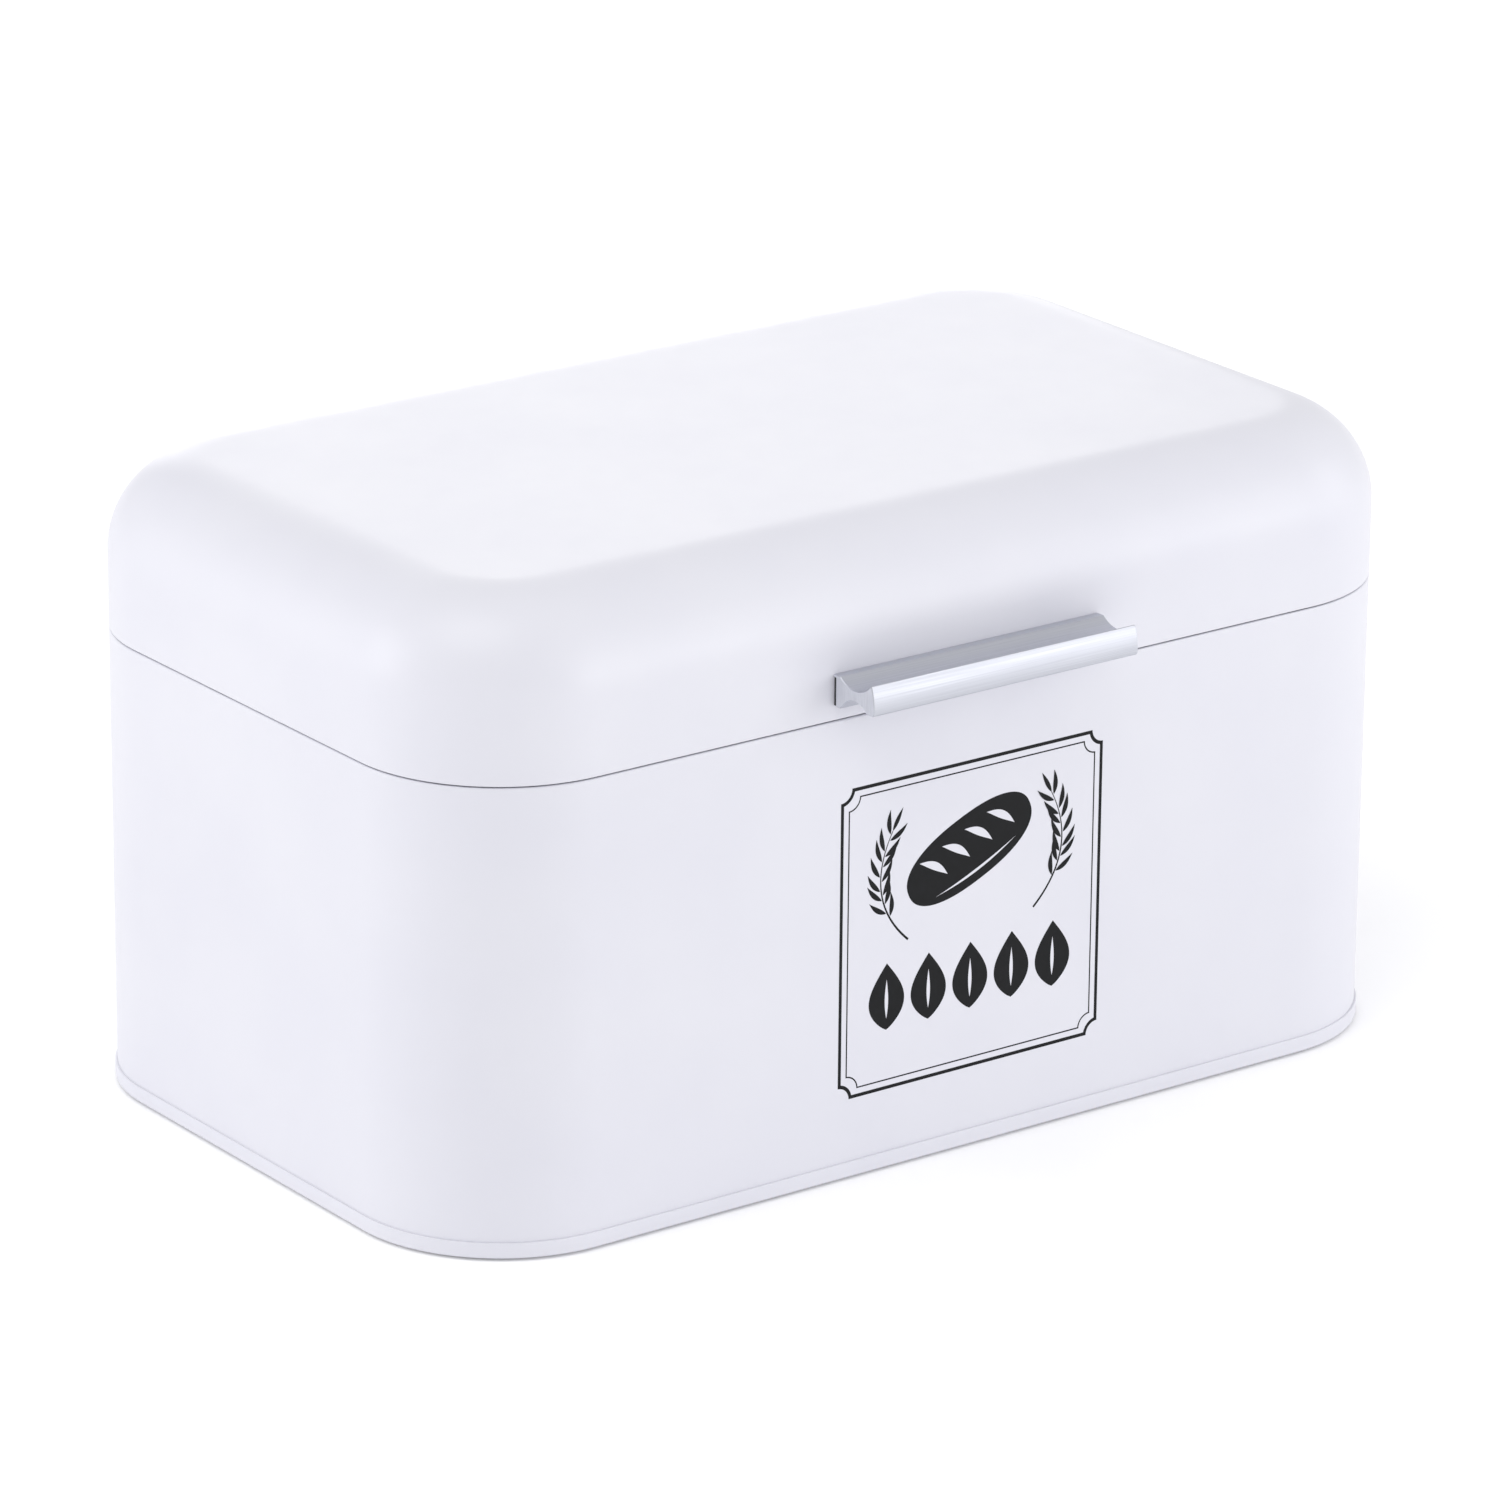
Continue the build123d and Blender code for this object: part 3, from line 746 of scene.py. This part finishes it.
# A square loop whose corners are scooped out by arcs about the points (centre, centre):
# each arc runs between the two places where it meets the square's sides.
def notchedLoop(half, centre, radius, steps=10):
    inside = centre - half
    reach = math.sqrt(radius ** 2 - inside ** 2)
    tilt = math.atan2(inside, reach)
    angle = np.linspace(math.pi + tilt, 1.5 * math.pi - tilt, steps + 1)
    arc = np.column_stack([centre + radius * np.cos(angle), centre + radius * np.sin(angle)])
    return np.concatenate([arc @ turned(-quarter * math.pi / 2).T for quarter in range(4)])


# A frame line: the loop at its outer edge and the loop at its inner edge, a line's width apart.
def frameLine(inset, width):
    edge, notch = labelHalf - inset, labelShape["notch"]
    return [notchedLoop(edge, edge, notch), notchedLoop(edge - width, edge, notch + width)]


# A leaf-shaped loop: a centre line bowed by bend, and a half width of sin(pi * s ** skew) on each side.
def leafLoop(start, end, halfWidth, bend=0.0, skew=1.0, steps=16):
    start, end = np.array(start, float), np.array(end, float)
    along = end - start
    side = np.array([-along[1], along[0]]) / np.linalg.norm(along)
    s = np.linspace(0, 1, steps + 1)[:, None]
    line = start + along * s + side * bend * 4 * s * (1 - s)
    width = halfWidth * np.sin(math.pi * s ** skew) * side
    return np.concatenate([line + width, (line - width)[-2:0:-1]])


loafArt = {"place": (-0.9, 19.0), "half": (22.4, 10.0), "tilt": 24.0, "cuts": 4, "cutHalf": 1.15,
           "squareness": 0.86}
sprigArt = {
    "foot": (-21.4, -2.6),
    "bow": (-37.0, 11.5),
    "tip": (-27.0, 29.6),
    "stem": 0.22,
    "stemSteps": 24,
    "pairs": 7,
    "pairSteps": (6, 22),  # steps of the stem where the first and the last pair stand
    "grain": 7.0,
    "grainHalf": 0.74,
    "grainBow": 0.5,
    "stalk": 0.7,  # gap between the stem and each grain
    "lean": 28.0,
    "fold": 4.0,  # inner grains lean this much more, and outer ones this much less
}
grainRow = {"count": 5, "spacing": 14.2, "height": 19.2, "half": 6.0, "rise": -17.6,
            "crease": 0.6, "creaseLow": 3.2, "creaseHigh": 4.6}


# A long loaf: an ellipse drawn out towards a squarer form, tilted, with slanting cuts left unprinted.
def loafLoops():
    t = np.linspace(0, 2 * math.pi, 97)[:-1]
    circle = np.column_stack([np.cos(t), np.sin(t)])
    shape = np.sign(circle) * np.abs(circle) ** loafArt["squareness"]
    loops = [shape * loafArt["half"]]
    for place in np.linspace(-12.4, 12.4, loafArt["cuts"]):
        loops.append(leafLoop((place - 3.4, 6.2), (place + 3.4, -2.2), loafArt["cutHalf"], 0.9))
    loops.append(leafLoop((-15.0, -5.9), (15.0, -5.9), 0.4, -1.1))
    turn = turned(math.radians(loafArt["tilt"]))
    return [loop @ turn.T + loafArt["place"] for loop in loops]


# A sprig: a stem on the curve (1-s)^2 foot + 2s(1-s) bow + s^2 tip, with pairs of grains leaning
# away from it and one grain at its tip. Side is 1 for the left sprig and -1 for its mirror image.
def sprigLoops(side):
    foot, bow, tip = (np.array(sprigArt[key], float) for key in ("foot", "bow", "tip"))
    s = np.linspace(0, 1, sprigArt["stemSteps"] + 1)[:, None]
    line = (1 - s) ** 2 * foot + 2 * s * (1 - s) * bow + s ** 2 * tip
    heading = 2 * (1 - s) * (bow - foot) + 2 * s * (tip - bow)
    heading /= np.linalg.norm(heading, axis=1)[:, None]
    across = np.column_stack([-heading[:, 1], heading[:, 0]]) * sprigArt["stem"] * (1.5 - s)
    stem = np.concatenate([line + across, (line - across)[::-1]])
    length, half = sprigArt["grain"], sprigArt["grainHalf"]
    grains = [leafLoop(line[-1], line[-1] + heading[-1] * length, half * 0.9, 0, 0.8)]
    for at in np.linspace(*sprigArt["pairSteps"], sprigArt["pairs"]).round().astype(int):
        for hand in (-1, 1):
            lean = math.radians(sprigArt["lean"] - sprigArt["fold"] * hand) * hand
            along = turned(lean) @ heading[at]
            start = line[at + (hand > 0)] + along * sprigArt["stalk"]
            grains.append(leafLoop(start, start + along * length, half, sprigArt["grainBow"] * hand, 0.8))
    mirror = np.array([side, 1.0])
    return [stem * mirror], [[grain * mirror] for grain in grains]


# A row of upright grains, each with its crease left unprinted.
def grainLoops():
    groups = []
    for x in (np.arange(grainRow["count"]) - (grainRow["count"] - 1) / 2) * grainRow["spacing"]:
        low, high = grainRow["rise"] - grainRow["height"] / 2, grainRow["rise"] + grainRow["height"] / 2
        body = leafLoop((x, low), (x, high), grainRow["half"], 0, 0.82, 28)
        creaseEnds = (x, low + grainRow["creaseLow"]), (x, high - grainRow["creaseHigh"])
        crease = leafLoop(*creaseEnds, grainRow["crease"], 0, 0.9)
        groups.append([body, crease])
    return groups


# Fills nested loops as a flat curve of even thickness and returns its mesh as points and faces,
# with the drawing's plane stood up on the front: right is X and up is Z.
def inkSolid(loops, lift=0.0):
    curve = bpy.data.curves.new("inkOutline", "CURVE")
    curve.dimensions = "2D"
    curve.fill_mode = "BOTH"
    curve.extrude = labelShape["inkThickness"] / 2
    for loop in loops:
        spline = curve.splines.new("POLY")
        spline.points.add(len(loop) - 1)
        flat4 = np.column_stack([loop, np.zeros(len(loop)), np.ones(len(loop))])
        spline.points.foreach_set("co", flat4.ravel())
        spline.use_cyclic_u = True
    holder = bpy.data.objects.new("inkOutline", curve)
    flat = bpy.data.meshes.new_from_object(holder)
    points = np.zeros(len(flat.vertices) * 3)
    flat.vertices.foreach_get("co", points)
    points = points.reshape(-1, 3)
    faces = [list(face.vertices) for face in flat.polygons]
    frontY = outlineMiddle[1] - outlineHalf[1]
    depth = frontY + labelShape["inkSunk"] - labelShape["inkThickness"] / 2 - lift
    x, z = points[:, 0] + labelMiddle[0], points[:, 1] + labelMiddle[1]
    standing = np.column_stack([x, depth - points[:, 2], z])
    bpy.data.objects.remove(holder)
    bpy.data.curves.remove(curve)
    bpy.data.meshes.remove(flat)
    return standing, faces


def makePrint():
    lines = [frameLine(0, labelShape["outerLine"]),
             frameLine(labelShape["innerGap"], labelShape["innerLine"]), loafLoops()]
    stems, grains = [], []
    for side in (1, -1):
        stem, sprigGrains = sprigLoops(side)
        stems.append(stem)
        grains += sprigGrains
    # Each grain lies a hair above the one before, so that no two printed faces share a plane.
    groups = [(group, 0.0) for group in lines + stems + grainLoops()]
    lifts = labelShape["grainLift"] + labelShape["liftStep"] * np.arange(len(grains))
    groups += list(zip(grains, lifts))
    allPoints, allFaces, start = [], [], 0
    for loops, lift in groups:
        points, faces = inkSolid(loops, lift)
        allPoints.append(points)
        allFaces += [[start + i for i in face] for face in faces]
        start += len(points)
    return makePiece("labelPrint", np.concatenate(allPoints), allFaces, printInk, 20.0)


labelPrint = makePrint()
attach(labelPrint, "box")
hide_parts("front_label")
print("print made", len(labelPrint.data.polygons), "faces")


# CAD pieces that keep their shape, and the finish that each kind gets.
finishes = [
    (plated, ("hinge_leaf_body", "hinge_leaf_lid", "hinge_pin", "handle_screw", "handle_washer")),
    (formed, ("hinge_rivets",)),
    (blackRubber, ("handle_gasket",)),
    (padSilicone, ("foot_", "lid_bumper")),
]
for finish, starts in finishes:
    for name in sorted(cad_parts):
        if name.startswith(starts):
            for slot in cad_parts[name].material_slots:
                slot.material = finish
print("small parts finished")


floorLook = {
    "half": 9000.0,
    "colour": "#FFFFFF",
    "mottle": "#FAFAFC",
    "mottleSize": 120.0,
    "glow": 0.10,
    "farGlow": 0.45,
    "glowStart": 1300.0,
    "glowEnd": 2000.0,
}


# A pale sheet of acrylic on a light table: matt, a little lit from below, and more so past the softboxes.
def makeFloor():
    values = {"Roughness": 0.9, "Specular IOR Level": 0.1, "Emission Color": (1, 1, 1, 1)}
    material, tree, shader = startMaterial("paleAcrylicSheet", **values)
    place = addNode(tree, "ShaderNodeTexCoord")
    reach = addNode(tree, "ShaderNodeVectorMath", {0: place.outputs["Object"]}, operation="LENGTH")
    ramp = {"Value": reach.outputs["Value"], "To Min": floorLook["glow"], "To Max": floorLook["farGlow"],
            "From Min": floorLook["glowStart"] * mm, "From Max": floorLook["glowEnd"] * mm}
    glow = addNode(tree, "ShaderNodeMapRange", ramp, interpolation_type="SMOOTHSTEP")
    tree.links.new(glow.outputs["Result"], shader.inputs["Emission Strength"])
    mottle = patternNoise(tree, (floorLook["mottleSize"],) * 3)
    tones = twoTones(tree, mottle, floorLook["colour"], floorLook["mottle"])
    tree.links.new(tones, shader.inputs["Base Color"])
    side = floorLook["half"]
    corners = np.array([(-side, -side, 0), (side, -side, 0), (side, side, 0), (-side, side, 0)])
    mesh = bpy.data.meshes.new("floor")
    mesh.from_pydata((corners * mm).tolist(), [], [[0, 1, 2, 3]])
    mesh.materials.append(material)
    floor = bpy.data.objects.new("floor", mesh)
    bpy.context.scene.collection.objects.link(floor)
    return floor


floor = makeFloor()

# Each softbox hangs round the box and faces it: azimuth, elevation, width, height and power.
# Azimuth 0 is in front of the box, and 90 is to its right.
studio = {
    "roomLight": 0.70,
    "roomColour": "#FFFFFF",
    "distance": 1800.0,
    "softboxes": {
        "leftBack": (-120, 16, 1000, 1000, 6.5),
        "leftHigh": (-60, 60, 1000, 1000, 4.7),
        "sideHigh": (-90, 60, 1000, 1000, 1.9),
        "overhead": (0, 89, 1200, 1200, 1.6),
        "rightBack": (150, 16, 1000, 1000, 3.1),
        "rightBackStrip": (150, 8, 1000, 400, 0.9),
        "frontRight": (30, 16, 1000, 1000, 2.4),
        "frontStrip": (30, 8, 1000, 400, 2.1),
        "rightSide": (60, 16, 1000, 1000, 4.5),
    },
}


# Unit vector from the box towards a place at that azimuth and elevation.
def towards(azimuth, elevation):
    a, e = math.radians(azimuth), math.radians(elevation)
    return Vector((math.sin(a) * math.cos(e), -math.cos(a) * math.cos(e), math.sin(e)))


world = bpy.data.worlds.new("studioRoom")
world.use_nodes = True
world.node_tree.nodes["Background"].inputs["Color"].default_value = hexColour(studio["roomColour"])
world.node_tree.nodes["Background"].inputs["Strength"].default_value = studio["roomLight"]
bpy.context.scene.world = world
boxMiddle = (cadLow + cadHigh) / 2
for name, (azimuth, elevation, across, tall, power) in studio["softboxes"].items():
    lamp = bpy.data.lights.new(name, "AREA")
    lamp.shape = "RECTANGLE"
    lamp.size, lamp.size_y = across * mm, tall * mm
    lamp.energy = power
    holder = bpy.data.objects.new(name, lamp)
    out = towards(azimuth, elevation)
    holder.location = boxMiddle + out * studio["distance"] * mm
    holder.rotation_euler = out.to_track_quat("Z", "Y").to_euler()
    holder.visible_camera = False
    bpy.context.scene.collection.objects.link(holder)

cameraView = {
    "azimuth": -36.444,
    "elevation": 19.558,
    "distance": 2244.8,
    "roll": 0.4676,
    "lens": 192.8,
    "aim": (3.57, 7.18, -5.41),  # from the middle of the CAD box
}


# The camera looks at the aim point; its right and up axes are turned about the view by the roll.
def makeCamera():
    out = towards(cameraView["azimuth"], cameraView["elevation"])
    right = Vector((0, 0, 1)).cross(out).normalized()
    up = out.cross(right)
    roll = math.radians(cameraView["roll"])
    across = right * math.cos(roll) + up * math.sin(roll)
    rise = up * math.cos(roll) - right * math.sin(roll)
    lens = bpy.data.cameras.new("camera")
    lens.sensor_width = 36.0
    lens.lens = cameraView["lens"]
    lens.clip_end = 20.0
    camera = bpy.data.objects.new("camera", lens)
    place = boxMiddle + Vector(cameraView["aim"]) * mm + out * cameraView["distance"] * mm
    camera.matrix_world = Matrix.Translation(place) @ Matrix((across, rise, out)).transposed().to_4x4()
    bpy.context.scene.collection.objects.link(camera)
    return camera


bpy.context.scene.camera = makeCamera()
bpy.context.scene.view_settings.view_transform = "Standard"
print("floor, light and camera set")
